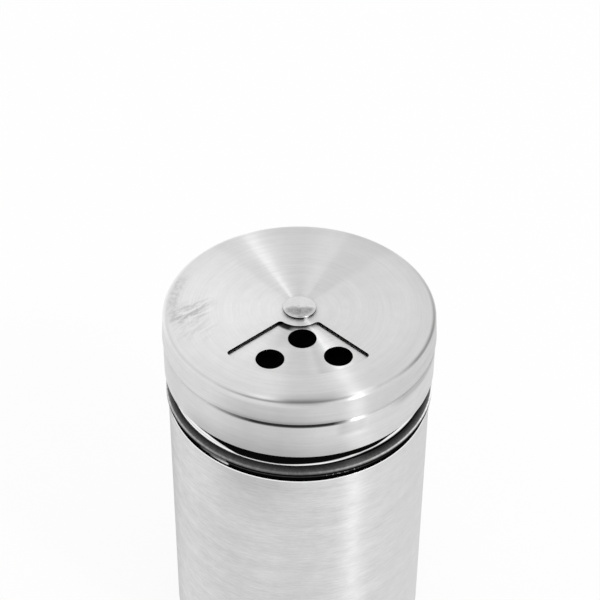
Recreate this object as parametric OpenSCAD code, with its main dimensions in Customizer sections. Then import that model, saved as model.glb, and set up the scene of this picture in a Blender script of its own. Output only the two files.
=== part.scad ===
// Round steel spice shaker with a push-on lid and a turning dial.
// The dial's window is turned over coarse holes, fine holes, a pouring opening or a blank quarter.
// Origin: centre of the base, on the table. +Z is up, and -Y is the side with the coarse holes.

/* [Canister] */
// Outside diameter of the steel body
body_d = 63; // [52:0.5:90]
// Height of the steel body, from the table to its rim
body_h = 75; // [40:1:160]
// Thickness of the body's steel
body_wall = 0.6; // [0.4:0.1:1]
// Outside radius of the corner between wall and base
body_corner_r = 3; // [2:0.5:6]
// Radius of the rim's outer edge
rim_round = 0.2; // [0.1:0.05:0.3]
// Width of the flat ring that the body stands on
foot_w = 4; // [2:0.5:8]
// How far the middle of the base is pressed up
base_recess = 1.2; // [0.6:0.1:3]

/* [Collar] */
// Depth of the collar's sleeve inside the body
sleeve_h = 8; // [4:0.5:20]
// Thickness of the sleeve
sleeve_wall = 1.6; // [1:0.1:3]
// Height of the groove between the body's rim and the collar's flange
groove_h = 1.75; // [0.6:0.05:2.5]
// Width of the body's rim that the collar covers
rim_cover = 0.15; // [0.1:0.05:0.3]
// How far the flange stands out past the body
flange_over = 0.5; // [0:0.05:0.8]
// Height of the flange's upright face
flange_h = 1.1; // [0.8:0.1:3]
// Height of the sloping shoulder above the flange
shoulder_h = 0.95; // [0.6:0.05:3]
// Radius of the edge between the flange and the shoulder
flange_edge_r = 0.4; // [0.2:0.05:0.5]
// How far the neck stands behind the body's surface
neck_inset = 2.35; // [2.1:0.05:4]
// Height of the neck above the ledge that carries the lid
neck_h = 9; // [6:0.5:12]
// Thickness of the neck
neck_wall = 2.5; // [2.1:0.1:4]

/* [Neck seal] */
// Thickness of the seal ring's cord
seal_d = 1.4; // [1:0.1:1.6]
// How far the seal ring stands out of the neck
seal_proud = 0.2; // [0.1:0.05:0.25]
// Height of the seal ring above the ledge
seal_z = 2.4; // [2:0.1:3]

/* [Cap] */
// Thickness of the cap's steel
cap_wall = 0.5; // [0.3:0.1:0.7]
// Height of the rolled hem at the cap's lower edge
hem_h = 0.6; // [0.5:0.1:1.2]
// How far the hem is rolled outward
hem_roll = 0.5; // [0.3:0.05:0.7]
// Height of the drawn-in band between the hem and the skirt
band_h = 3.45; // [2.5:0.05:6]
// How far the skirt stands out past the body
skirt_over = 0.6; // [0:0.05:1]
// Height of the skirt
skirt_h = 9.55; // [8:0.05:20]
// Flat width of the step between the skirt and the crown
crown_step = 0.4; // [0.1:0.05:0.6]
// Height of the crown that the dial covers
crown_h = 6.65; // [5.5:0.05:8]
// Outside radius of the crown's upper edge
crown_round = 1.2; // [0.9:0.1:1.8]

/* [Holes in the cap] */
// How far the hole pattern is turned from the front
holes_turn = 4.1; // [-20:0.1:20]
// Diameter of the three coarse holes
coarse_d = 6.6; // [4:0.1:7]
// Distance of the near coarse hole from the middle
coarse_near_r = 9.5; // [8.6:0.1:9.6]
// Distance of the two far coarse holes from the middle
coarse_far_r = 17.8; // [16.5:0.1:18.5]
// Angle of the far coarse holes to either side
coarse_far_turn = 26; // [22:0.5:32]
// Diameter of the fine holes
fine_d = 2.4; // [1:0.1:3]
// Distance of the innermost row of fine holes from the middle
fine_row_r = 9; // [8:0.1:10]
// Distance between fine holes, and between their rows
fine_pitch = 5; // [4:0.1:6]
// Inside radius of the pouring opening
pour_in_r = 8; // [7:0.1:10]
// Outside radius of the pouring opening
pour_out_r = 20.5; // [15:0.1:22]
// Angle that the pouring opening spans
pour_angle = 64; // [30:1:80]
// Width of the broken edge around each round hole
hole_edge = 0.15; // [0.05:0.05:0.2]

/* [Dial] */
// Thickness of the dial's steel
dial_wall = 0.4; // [0.3:0.1:0.6]
// Gap between the crown and the dial's skirt
dial_gap = 0.6; // [0.3:0.05:1]
// How much wider the dial's skirt is at its lower edge
dial_flare = 0.4; // [0:0.05:0.8]
// Height of the gap between the dial's skirt and the step below it
dial_lift = 1.1; // [0.3:0.1:1.5]
// Outside radius of the dial's upper edge
dial_round = 1; // [0.8:0.1:2]
// How far the dial is turned from the front
dial_turn = -0.9; // [-20:0.1:20]
// Angle that the window spans
window_angle = 93.4; // [80:0.1:94]
// Inside radius of the window
window_in_r = 5.95; // [5.6:0.05:7]
// Outside radius of the window
window_out_r = 22.6; // [21:0.1:24]

/* [Rivet and washers] */
// Diameter of the rivet's head
rivet_head_d = 8; // [7:0.1:10]
// Height of the rivet's domed head
rivet_head_h = 1.2; // [0.8:0.1:2]
// Height of the upright edge of the rivet's head
rivet_edge_h = 0.5; // [0.4:0.1:0.7]
// Width of the bevel under the rivet's head
rivet_bevel = 0.3; // [0.1:0.05:0.35]
// Diameter of the rivet's shank
rivet_shank_d = 4; // [3:0.1:5]
// Diameter of the rivet's closed end, under the cap
rivet_tail_d = 6.8; // [6:0.1:8]
// Height of the rivet's closed end
rivet_tail_h = 1; // [0.6:0.1:2]
// Outside diameter of the friction washer
friction_washer_d = 9.6; // [8.5:0.1:11]
// Thickness of the friction washer, which is the gap between dial and cap
friction_washer_h = 0.45; // [0.4:0.05:1.2]
// Outside diameter of the backing washer
backing_washer_d = 10; // [8:0.1:10.5]
// Thickness of the backing washer
backing_washer_h = 0.8; // [0.5:0.1:1.5]

/* [Hidden] */
$fn = 128;

// Clearances
running_gap = 0.05;
sleeve_gap = 0.05;
neck_gap = 0.35;
seal_side_gap = 0.1;
hem_ledge_margin = 0.1;
// Distance that a cutting tool runs past a face
past = 1;
// Inside radius of a sheet's bends, and points on a quarter of a bend
bend_r = 0.15;
bend_steps = 6;

// Heights, from the table up
flange_z = body_h + groove_h;
shoulder_z = flange_z + flange_h;
ledge_z = shoulder_z + shoulder_h;
neck_top_z = ledge_z + neck_h;
band_z = ledge_z + hem_h;
skirt_z = band_z + band_h;
step_z = skirt_z + skirt_h;
plate_z = step_z + crown_h;
dial_under_z = plate_z + friction_washer_h;
dial_z = dial_under_z + dial_wall;
backing_z = plate_z - cap_wall - backing_washer_h;

// Radii
body_r = body_d / 2;
body_in_r = body_r - body_wall;
foot_in_r = body_r - body_corner_r - foot_w;
sleeve_r = body_in_r - sleeve_gap;
groove_r = body_in_r + rim_cover;
flange_r = body_r + flange_over;
neck_r = body_r - neck_inset;
neck_in_r = neck_r - neck_wall;
band_in_r = neck_r + neck_gap;
band_r = band_in_r + cap_wall;
hem_r = band_r + hem_roll;
shoulder_r = hem_r + hem_ledge_margin;
skirt_r = body_r + skirt_over;
crown_r = skirt_r - crown_step - cap_wall - 2 * bend_r;
dial_r = crown_r + dial_gap + dial_wall;
seal_path_r = neck_r + seal_proud - seal_d / 2;
shank_r = rivet_shank_d / 2;
pin_hole_r = shank_r + running_gap;

// Direction of the front, as an angle from +X
front = -90;

function unit(v) = v / norm(v);
function left_of(v) = [-v[1], v[0]];
function angle_of(v) = atan2(v[1], v[0]);

// Points on an arc
function arc(centre, r, from, to, steps = bend_steps) =
    [for (i = [0 : steps]) let (a = from + (to - from) * i / steps) centre + r * [cos(a), sin(a)]];

// One bend of a sheet: [centre, first angle, last angle, side of the centre]
function bend(path, i, t, r) =
    let (
        u = unit(path[i] - path[i - 1]),
        v = unit(path[i + 1] - path[i]),
        turn = asin(u[0] * v[1] - u[1] * v[0]),
        side = sign(turn),
        outer = side > 0 ? r + t : r,
        centre = path[i] - u * outer * tan(abs(turn) / 2) + side * left_of(u) * outer,
        start = angle_of(-side * left_of(u))
    )
    [centre, start, start + turn, side];

// Outline of a sheet of thickness t that lies on the left of a bent path.
// radii holds the inside radius of each bend, and edge_r rounds the path's side of its far edge.
function sheet(path, t, radii, edge_r = 0) =
    let (
        last = len(path) - 1,
        ahead = unit(path[last] - path[last - 1]),
        across = left_of(ahead),
        edge = edge_r > 0
            ? arc(path[last] + edge_r * (across - ahead), edge_r, angle_of(-across), angle_of(ahead))
            : [path[last]],
        bends = [for (i = [1 : last - 1]) bend(path, i, t, radii[i - 1])],
        near = [for (i = [0 : last - 2]) let (b = bends[i])
            arc(b[0], b[3] > 0 ? radii[i] + t : radii[i], b[1], b[2])],
        far = [for (i = [last - 2 : -1 : 0]) let (b = bends[i])
            arc(b[0], b[3] > 0 ? radii[i] : radii[i] + t, b[2], b[1])]
    )
    concat(
        [path[0]],
        [for (a = near) each a],
        edge,
        [path[last] + t * across],
        [for (a = far) each a],
        [path[0] + t * left_of(unit(path[1] - path[0]))]
    );

// A sector of a ring, centred on the direction at turn, for cutting through a plate
module sector_cut(in_r, out_r, angle, turn, z, h) {
    reach = 2 * out_r;
    rotate([0, 0, turn])
        translate([0, 0, z])
            intersection() {
                difference() {
                    cylinder(r = out_r, h = h);
                    translate([0, 0, -past])
                        cylinder(r = in_r, h = h + 2 * past);
                }
                linear_extrude(h)
                    polygon(concat([[0, 0]], arc([0, 0], reach, -angle / 2, angle / 2, 2)));
            }
}

// A flat ring that the rivet's shank passes through
module washer(d, h, z) {
    translate([0, 0, z])
        difference() {
            cylinder(d = d, h = h);
            translate([0, 0, -past])
                cylinder(r = pin_hole_r, h = h + 2 * past);
        }
}

// A hole through the cap's plate, at a distance from the middle and a turn from the pattern's front
module plate_hole(d, r, turn) {
    rotate([0, 0, front + holes_turn + turn])
        translate([r, 0, plate_z]) {
            translate([0, 0, -cap_wall - past])
                cylinder(d = d, h = cap_wall + 2 * past);
            translate([0, 0, -hole_edge])
                cylinder(r1 = d / 2, r2 = d / 2 + hole_edge + past, h = hole_edge + past);
        }
}

// Three large holes in the front quarter
module coarse_holes() {
    plate_hole(coarse_d, coarse_near_r, 0);
    for (side = [-1, 1])
        plate_hole(coarse_d, coarse_far_r, side * coarse_far_turn);
}

// Rows of two, three and four small holes in the quarter to the right
module fine_holes() {
    for (row = [0 : 2]) {
        r = fine_row_r + row * fine_pitch;
        step = 2 * asin(fine_pitch / 2 / r);
        for (i = [0 : row + 1])
            plate_hole(fine_d, r, 90 + (i - (row + 1) / 2) * step);
    }
}

// Drawn steel cup that holds the spice
module body_shell() {
    path = [
        [0, base_recess],
        [foot_in_r - base_recess, base_recess],
        [foot_in_r, 0],
        [body_r, 0],
        [body_r, body_h]
    ];
    color("silver")
        rotate_extrude()
            polygon(sheet(path, body_wall, [body_wall, body_wall, body_corner_r - body_wall], rim_round));
}

// Black collar pressed into the body's mouth, with the neck that the lid is pushed onto
module neck_collar() {
    slope = angle_of([flange_r - shoulder_r, -shoulder_h]);
    edge_turn = abs(-90 - slope);
    edge_set = flange_edge_r * tan(edge_turn / 2);
    edge_centre = [flange_r - flange_edge_r, shoulder_z - edge_set];
    outline = concat(
        [[sleeve_r, body_h - sleeve_h], [sleeve_r, body_h], [groove_r, body_h], [groove_r, flange_z],
         [flange_r, flange_z]],
        arc(edge_centre, flange_edge_r, 0, edge_turn),
        [[shoulder_r, ledge_z], [neck_r, ledge_z], [neck_r, neck_top_z], [neck_in_r, neck_top_z],
         [neck_in_r, body_h], [sleeve_r - sleeve_wall, body_h - (sleeve_r - sleeve_wall - neck_in_r)],
         [sleeve_r - sleeve_wall, body_h - sleeve_h]]
    );
    color("#1c1c1e")
        difference() {
            rotate_extrude()
                polygon(outline);
            translate([0, 0, ledge_z + seal_z - seal_d / 2 - seal_side_gap])
                difference() {
                    cylinder(r = neck_r + past, h = seal_d + 2 * seal_side_gap);
                    translate([0, 0, -past])
                        cylinder(r = seal_path_r - seal_d / 2, h = seal_d + 2 * past);
                }
        }
}

// Rubber ring in the neck's groove, against the inside of the cap's band
module neck_seal() {
    color("#2a2a2c")
        rotate_extrude()
            translate([seal_path_r, ledge_z + seal_z])
                circle(d = seal_d);
}

// Lower part of the lid: hem, band, skirt, crown and the plate with the holes
module cap_shell() {
    path = [
        [band_r, ledge_z],
        [band_r, skirt_z],
        [skirt_r, skirt_z],
        [skirt_r, step_z],
        [crown_r, step_z],
        [crown_r, plate_z],
        [pin_hole_r, plate_z]
    ];
    hem = concat(
        [[band_in_r, ledge_z]],
        arc([hem_r - hem_h / 2, ledge_z + hem_h / 2], hem_h / 2, -90, 90, 2 * bend_steps),
        [[band_in_r, ledge_z + hem_h]]
    );
    color("gainsboro")
        difference() {
            union() {
                rotate_extrude()
                    polygon(sheet(path, cap_wall, [bend_r, bend_r, bend_r, bend_r, crown_round - cap_wall]));
                rotate_extrude()
                    polygon(hem);
            }
            coarse_holes();
            fine_holes();
            sector_cut(pour_in_r, pour_out_r, pour_angle, front + holes_turn + 180,
                       plate_z - cap_wall - past, cap_wall + 2 * past);
        }
}

// Upper part of the lid: a turning steel cover with one window
module dial_cover() {
    path = [
        [dial_r + dial_flare, step_z + dial_lift],
        [dial_r, dial_z],
        [pin_hole_r, dial_z]
    ];
    color("lightgray")
        difference() {
            rotate_extrude()
                polygon(sheet(path, dial_wall, [dial_round - dial_wall]));
            sector_cut(window_in_r, window_out_r, window_angle, front + dial_turn,
                       dial_under_z - past, dial_wall + 2 * past);
        }
}

// Pin that holds the dial on the cap, with a domed head above and a closed end below
module rivet() {
    head_r = rivet_head_d / 2;
    tail_r = rivet_tail_d / 2;
    tail_z = backing_z - rivet_tail_h;
    dome_h = rivet_head_h - rivet_edge_h;
    dome_r = (head_r * head_r + dome_h * dome_h) / (2 * dome_h);
    dome_half = asin(head_r / dome_r);
    color("whitesmoke")
        rotate_extrude()
            polygon(concat(
                [[0, tail_z], [tail_r, tail_z], [tail_r, backing_z], [shank_r, backing_z],
                 [shank_r, dial_z], [head_r - rivet_bevel, dial_z], [head_r, dial_z + rivet_bevel]],
                arc([0, dial_z + rivet_head_h - dome_r], dome_r, 90 - dome_half, 90, 2 * bend_steps)
            ));
}

// Springy washer that carries the dial and makes it turn stiffly
module friction_washer() {
    color("dimgray")
        washer(friction_washer_d, friction_washer_h, plate_z);
}

// Plain washer that spreads the rivet's closed end under the plate
module backing_washer() {
    color("gray")
        washer(backing_washer_d, backing_washer_h, backing_z);
}

body_shell();
neck_collar();
neck_seal();
cap_shell();
dial_cover();
rivet();
friction_washer();
backing_washer();
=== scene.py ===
import math
from collections import namedtuple

import bpy
import numpy as np
from mathutils import Matrix, Vector
from mathutils.geometry import delaunay_2d_cdt


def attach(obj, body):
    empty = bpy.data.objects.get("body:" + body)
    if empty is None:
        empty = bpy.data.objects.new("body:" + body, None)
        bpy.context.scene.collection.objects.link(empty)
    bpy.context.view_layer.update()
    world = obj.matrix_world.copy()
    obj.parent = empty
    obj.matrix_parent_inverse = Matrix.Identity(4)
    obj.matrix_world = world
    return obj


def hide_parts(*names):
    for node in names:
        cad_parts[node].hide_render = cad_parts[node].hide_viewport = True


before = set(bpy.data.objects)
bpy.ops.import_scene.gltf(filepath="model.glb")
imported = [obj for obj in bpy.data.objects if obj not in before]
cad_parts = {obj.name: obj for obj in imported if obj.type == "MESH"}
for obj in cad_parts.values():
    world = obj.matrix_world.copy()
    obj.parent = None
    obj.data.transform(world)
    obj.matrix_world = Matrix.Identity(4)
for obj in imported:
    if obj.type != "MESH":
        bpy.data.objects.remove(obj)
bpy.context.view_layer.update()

MM = 0.001
FRONT = -90.0

# How finely round things are divided.
TURNS, SMALL_TURNS = 384, 192
FACET = 9.0
EDGE_STEPS, CUT_STEPS = 16, 4
HOLE_STEPS, FINE_HOLE_STEPS = 72, 40
ARC_OUT_STEPS, ARC_IN_STEPS, CORNER_STEPS = 96, 40, 8

# Lengths and areas below these count as none.
SAME, SAME_POINT, NO_AREA = 1e-7, 1e-6, 1e-9


# ---------------------------------------------------------------- sizes

BODY_R, BODY_H, BODY_WALL = 31.5, 74.75, 0.6
BODY_CORNER_R = 3.0
BODY_CORE = 0.9 * BODY_WALL
# The top RIM_DARK_H of the rim is painted black for the shade under the flange. The rounding below it, down
# to RIM_ROUND, takes a brighter steel for a painted highlight.
RIM_ROUND, RIM_IN_ROUND, RIM_DARK_H = 0.35, 0.08, 0.1
FOOT_R, FOOT_ROUND, FOOT_IN_ROUND, FOOT_IN_SHIFT = 24.5, 1.0, 0.4, 0.25
BASE_RECESS, BASE_ROUND, BASE_IN_ROUND, BASE_IN_Z = 1.2, 0.9, 1.0, 0.5

SLEEVE_R, SLEEVE_IN_R, SLEEVE_Z = 30.85, 29.25, 67.0
SLEEVE_EDGE, SLEEVE_ROUND, SLEEVE_IN_ROUND = 0.8, 0.2, 0.3
GROOVE_R, GROOVE_ROUND = 31.05, 0.08
SEAT_Z, SEAT_ROUND, SEAT_IN_ROUND = BODY_H + 0.05, 0.03, 0.02
FLANGE_Z, FLANGE_R, FLANGE_ROUND, FLANGE_EDGE_R = 76.5, 32.0, 0.12, 0.4
SHOULDER_Z, SHOULDER_R, SHOULDER_ROUND = 77.6, 30.6, 0.15
BLACK_BELOW = 0.3
LEDGE_Z = 78.8
NECK_R, NECK_IN_R, NECK_TOP_Z = 29.15, 26.65, 87.8
NECK_ROUND, NECK_TOP_ROUND, THROAT_ROUND = 0.1, 0.35, 0.5
SEAL_GROOVE_R, SEAL_LOW_Z, SEAL_HIGH_Z = 27.95, 80.4, 82.0

# CAP_SKIN, CAP_CORE and CAP_DEEP are depths below the cap's faces that tell its outside from its inside.
CAP_WALL, CAP_SKIN, CAP_CORE, CAP_DEEP = 0.5, 0.3, 0.4, 0.6
BAND_R = 30.0
HEM_R, HEM_EDGE_H, HEM_H, HEM_ROUND, HEM_TOP_ROUND = 30.62, 0.35, 1.4, 0.15, 0.2
SKIRT_R, SKIRT_Z = 32.1, 82.85
# Up to BAND_BLACK_R and BAND_BLACK_Z the band under the skirt takes the hem's black, a painted shade.
BAND_BLACK_R, BAND_BLACK_Z, NEAR = SKIRT_R - 0.7, SKIRT_Z + 0.05, 0.01
STEP_Z, STEP_SLOPE, STEP_ROUND = 92.4, 1.1, 0.4
CROWN_R, CROWN_ROUND = 30.9, 1.2
PLATE_Z = 99.05
PLATE_LOW_Z = PLATE_Z - CAP_WALL
PLATE_EDGE_R = CROWN_R - CROWN_ROUND - 0.4
BEND_R = 0.15

HOLES_TURN = 4.1
COARSE_D, COARSE_NEAR_R, COARSE_FAR_R, COARSE_FAR_TURN = 6.6, 9.5, 17.8, 26.0
FINE_D, FINE_ROW_R, FINE_PITCH, FINE_ROWS = 2.4, 9.0, 5.0, 3
POUR_IN_R, POUR_OUT_R, POUR_ANGLE, POUR_CORNER = 8.0, 20.5, 64.0, 0.5

DIAL_WALL = 0.4
DIAL_R, DIAL_LOW_R, DIAL_ROUND, DIAL_EDGE = 31.9, 32.3, 1.0, 2.6
DIAL_LOW_Z, DIAL_Z = 93.5, 99.78
DIAL_IN_Z = DIAL_Z - DIAL_WALL
DIAL_LOW_ROUND = 0.16
DIAL_FLAT_R = DIAL_R - DIAL_EDGE - 0.2
DIAL_TURN = -0.9
WINDOW_ANGLE, WINDOW_IN_R, WINDOW_OUT_R, WINDOW_CORNER = 93.4, 5.95, 22.6, 0.9

RIVET_HEAD_R, RIVET_BEVEL, RIVET_EDGE_H, RIVET_H = 3.88, 0.3, 0.62, 1.319
RIVET_DOME, RIVET_ROUND, RIVET_EDGE_ROUND = 3.0, 0.05, 0.1
SHANK_R, PIN_HOLE_R = 2.0, 2.05
TAIL_R, TAIL_H, TAIL_ROUND, BACKING_Z = 3.4, 1.0, 0.2, 97.75
WASHER_R, WASHER_SEAM_R, WASHER_ROUND = 4.8, 3.0, 0.05

CUT_EDGE = 0.07


# ---------------------------------------------------------------- meshes

def turned(v, degrees):
    """Vector v of two numbers, turned to the left."""
    a = math.radians(degrees)
    return np.array([v[0] * math.cos(a) - v[1] * math.sin(a), v[0] * math.sin(a) + v[1] * math.cos(a)])


def outline(points, radii):
    """Points and outward normals along a path with rounded corners. The solid lies on the path's left."""
    points = [np.array(p, float) for p in points]
    ahead = [(b - a) / np.linalg.norm(b - a) for a, b in zip(points, points[1:])]
    outward = [np.array([u[1], -u[0]]) for u in ahead]
    made = [(points[0], outward[0])]
    for i in range(1, len(points) - 1):
        u, v = ahead[i - 1], ahead[i]
        turn = math.degrees(math.atan2(u[0] * v[1] - u[1] * v[0], u @ v))
        side = 1 if turn > 0 else -1
        r = radii[i - 1]
        centre = points[i] - u * r * math.tan(math.radians(abs(turn)) / 2) - side * r * outward[i - 1]
        steps = max(2, math.ceil(abs(turn) / FACET))
        for k in range(steps + 1):
            n = turned(outward[i - 1], turn * k / steps)
            made.append((centre + side * r * n, n))
    made.append((points[-1], outward[-1]))
    return made


def rounded_edge(r, top_z, lean, wide, high):
    """Points and normals from a side up to a flat top, along an elliptic quarter turn.

    The side passes through radius r at height top_z - high, and leans in by lean for each unit up.
    """
    first = math.atan(lean * high / wide)
    start_r = r - lean * high * math.sin(first)
    centre = np.array([start_r - wide * math.cos(first), top_z - high])
    made = []
    for a in np.linspace(first, math.pi / 2, EDGE_STEPS + 1):
        n = np.array([math.cos(a) / wide, math.sin(a) / high])
        made.append((centre + np.array([wide * math.cos(a), high * math.sin(a)]), n / np.linalg.norm(n)))
    return made


class Skin:
    """Vertices with their own normals, and faces with a material number, for one mesh."""

    def __init__(self):
        self.points, self.normals, self.faces, self.slots = [], [], [], []

    def add(self, points, normals):
        start = len(self.points)
        self.points += [tuple(p) for p in points]
        self.normals += [tuple(n) for n in normals]
        return start

    def face(self, ids, slot=0):
        self.faces.append(tuple(ids))
        self.slots.append(slot)

    def lathe(self, path, slot_of=lambda r, z: 0, turns=TURNS):
        """The path, turned about Z. slot_of gives the material number at a radius and a height."""
        angles = np.radians(np.arange(turns) * 360 / turns)
        c, s = np.cos(angles), np.sin(angles)
        rings = []
        for (r, z), n in path:
            if r < SAME:
                rings.append([self.add([(0, 0, z)], [(0, 0, math.copysign(1, n[1]))])] * turns)
                continue
            start = self.add(np.stack([r * c, r * s, np.full(turns, z)], 1),
                             np.stack([n[0] * c, n[0] * s, np.full(turns, n[1])], 1))
            rings.append(range(start, start + turns))
        for i, (low, high) in enumerate(zip(rings, rings[1:])):
            a, b = path[i][0], path[i + 1][0]
            if np.linalg.norm(a - b) < SAME:
                continue
            slot = slot_of(*((a + b) / 2))
            for j in range(turns):
                k = (j + 1) % turns
                ids = [low[j], low[k], high[k], high[j]]
                self.face(list(dict.fromkeys(ids)), slot)

    def plate(self, z, up, edge, holes, slot=0):
        """Flat face at height z between the circle of radius edge and the holes' loops."""
        angles = np.radians(np.arange(TURNS) * 360 / TURNS)
        loops = [np.stack([edge * np.cos(angles), edge * np.sin(angles)], 1)] + holes
        flat, edges = [], []
        for loop in loops:
            start, count = len(flat), len(loop)
            flat += [Vector(p) for p in loop]
            edges += [(start + i, start + (i + 1) % count) for i in range(count)]
        found, _, triangles, _, _, _ = delaunay_2d_cdt(flat, edges, [], 0, SAME_POINT)
        found = np.array([tuple(p) for p in found])
        start = self.add(np.column_stack([found, np.full(len(found), z)]),
                         np.tile((0, 0, 1 if up else -1), (len(found), 1)))
        for t in triangles:
            p = found[list(t)]
            area = np.cross(p[1] - p[0], p[2] - p[0])
            middle = p.mean(0)
            if abs(area) < NO_AREA or any(inside(middle, h) for h in holes):
                continue
            ids = [start + i for i in t]
            self.face(ids if (area > 0) == up else ids[::-1], slot)

    def hole_wall(self, loop, top, low, slot):
        """Wall of a hole through a plate, with rounded edges above and below."""
        base, out = loop
        rings = []
        for k in range(CUT_STEPS + 1):
            a = math.radians(90 * k / CUT_STEPS)
            s, c = math.sin(a), math.cos(a)
            rings.append((CUT_EDGE * (1 - s), top - CUT_EDGE * (1 - c), s, c))
        rings += [(g, low + (top - z), s, -c) for g, z, s, c in rings[::-1]]
        starts = []
        for grow, z, s, c in rings:
            p = base + grow * out
            starts.append(self.add(np.column_stack([p, np.full(len(p), z)]),
                                   np.column_stack([-s * out, np.full(len(p), c)])))
        count = len(base)
        for i, (a, b) in enumerate(zip(starts, starts[1:])):
            for j in range(count):
                k = (j + 1) % count
                self.face([a + j, a + k, b + k, b + j], 0 if i < CUT_STEPS - 1 else slot)


def inside(p, loop):
    """Whether the point lies inside the loop."""
    x, y = loop[:, 0], loop[:, 1]
    x2, y2 = np.roll(x, -1), np.roll(y, -1)
    crosses = (y > p[1]) != (y2 > p[1])
    with np.errstate(divide="ignore", invalid="ignore"):
        at = x + (p[1] - y) * (x2 - x) / (y2 - y)
    return bool(np.count_nonzero(crosses & (p[0] < at)) % 2)


def round_hole(d, r, turn, count=HOLE_STEPS):
    """Loop of a round hole: its points, and the directions in which they move as it grows."""
    a = math.radians(FRONT + turn)
    angles = np.radians(np.arange(count) * 360 / count)
    out = np.stack([np.cos(angles), np.sin(angles)], 1)
    return np.array([r * math.cos(a), r * math.sin(a)]) + d / 2 * out, out


def sector_hole(in_r, out_r, angle, turn, corner):
    """Loop of a hole shaped as a sector of a ring, with rounded corners."""
    half = angle / 2
    lean_in = math.degrees(math.asin(corner / (in_r + corner)))
    lean_out = math.degrees(math.asin(corner / (out_r - corner)))

    def ray(a):
        return np.array([math.cos(math.radians(a)), math.sin(math.radians(a))])

    points, out = [], []

    def arc(centre, r, start, end, steps, sign=1):
        for a in np.linspace(start, end, steps + 1):
            points.append(centre + r * ray(a))
            out.append(sign * ray(a))

    def bend(centre_r, centre_turn, start, end):
        arc(centre_r * ray(centre_turn), corner, start, end, CORNER_STEPS)

    arc(np.zeros(2), out_r, -half + lean_out, half - lean_out, ARC_OUT_STEPS)
    bend(out_r - corner, half - lean_out, half - lean_out, half + 90)
    bend(in_r + corner, half - lean_in, half + 90, half - lean_in + 180)
    arc(np.zeros(2), in_r, half - lean_in, -half + lean_in, ARC_IN_STEPS, -1)
    bend(in_r + corner, -half + lean_in, -half + lean_in + 180, -half + 270)
    bend(out_r - corner, -half + lean_out, -half + 270, -half + lean_out + 360)
    keep = [i for i in range(len(points)) if np.linalg.norm(points[i] - points[i - 1]) > SAME_POINT]
    points = np.array([turned(points[i], FRONT + turn) for i in keep])
    out = np.array([turned(out[i], FRONT + turn) for i in keep])
    return points, out


def grown(loops):
    """The loops' points, moved out by the rounding of a cut edge."""
    return [points + CUT_EDGE * out for points, out in loops]


def make_mesh(name, skin, materials, body, replaces):
    """A mesh object from the skin, riding on a CAD body in place of a CAD node."""
    mesh = bpy.data.meshes.new(name)
    mesh.from_pydata([Vector(p) * MM for p in skin.points], [], skin.faces)
    mesh.polygons.foreach_set("use_smooth", [True] * len(skin.faces))
    for m in materials:
        mesh.materials.append(m)
    mesh.polygons.foreach_set("material_index", skin.slots)
    mesh.update()
    mesh.normals_split_custom_set_from_vertices([Vector(n).normalized() for n in skin.normals])
    obj = bpy.data.objects.new(name, mesh)
    bpy.context.scene.collection.objects.link(obj)
    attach(obj, body)
    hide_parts(replaces)
    return obj


# ---------------------------------------------------------------- painted shade and light

# A place along a radius, a height or an azimuth is: from, to, and the soft widths before and after it.
# One soft width counts for both sides. The azimuth is 0 in front and grows to the right.
# A shade is: a place along a radius or a height (None for all of it), a place along the azimuth, and
# the share of brightness lost there (below 0) or the brightness added there (above 0).
# A ramp is: the heights where it starts and ends, the share lost at each, and a place along the
# azimuth.

# Painted shade for the dark reflection of what lies in front of the shaker: on the line under the dial
# and on the sides of the lid.
FRONT_LINE = (-19.0, 14.0, 22.0, 9.0)
FRONT_SHADE, FRONT_LOSS = (-22.0, -8.0, 16.0), 0.17

# Painted shade and light on the dial's rim: dark in front, thin and dark at the right, two painted
# gleams, and painted light behind.
RIM_Z = (98.0, 98.5)
RIM_SHADES = (
    ((31.1, 31.3, 0.9, 0.42), (-3.0, 4.0, 12.0), -0.42),
    ((31.33, 31.5, 0.22, 0.25), (-20.0, -12.0, 18.0, 10.0), -0.45),
    ((31.2, 31.35, 0.3), (10.0, 20.0, 6.0), -0.2),
    ((30.6, 31.0, 0.3, 0.15), (-18.0, -10.0, 5.0), 0.15),
    ((31.0, 31.2, 2.6, 0.4), (-2.0, 13.0, 9.0), -0.26),
    ((31.4, 31.55, 0.45, 0.3), (58.0, 78.0, 16.0, 36.0), -0.5),
    ((31.15, 31.35, 0.5, 0.3), (-95.0, 110.0, 20.0), -0.12),
    ((30.9, 31.3, 0.4, 0.3), (26.0, 31.0, 4.0), 0.2),
)
RIM_BACK_R, RIM_BACK_GAIN = (30.9, 31.6), 0.22
RIM_BACK_LEFT, RIM_BACK_RIGHT = (-90.0, -65.0), (105.0, 150.0)

# Painted shade on the dial: a little darker outward, dark at its lower edge in front, and darker bands
# behind.
DIAL_OUTER_R, DIAL_OUTER_KEPT = (24.0, 29.5), 0.95
DIAL_SIDE_Z = (98.0, 98.6)
DIAL_RAMPS = (
    ((DIAL_LOW_Z, DIAL_LOW_Z + 3.0, 0.2, 0.0), (-22.0, 2.0, 20.0)),
    ((DIAL_LOW_Z, DIAL_LOW_Z + 1.0, 0.35, 0.0), FRONT_LINE),
)
DIAL_SHADES = (
    (None, (-151.0, -141.0, 2.5, 6.0), -0.065),
    (None, (138.0, 155.0, 6.0, 4.0), -0.065),
)

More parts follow.
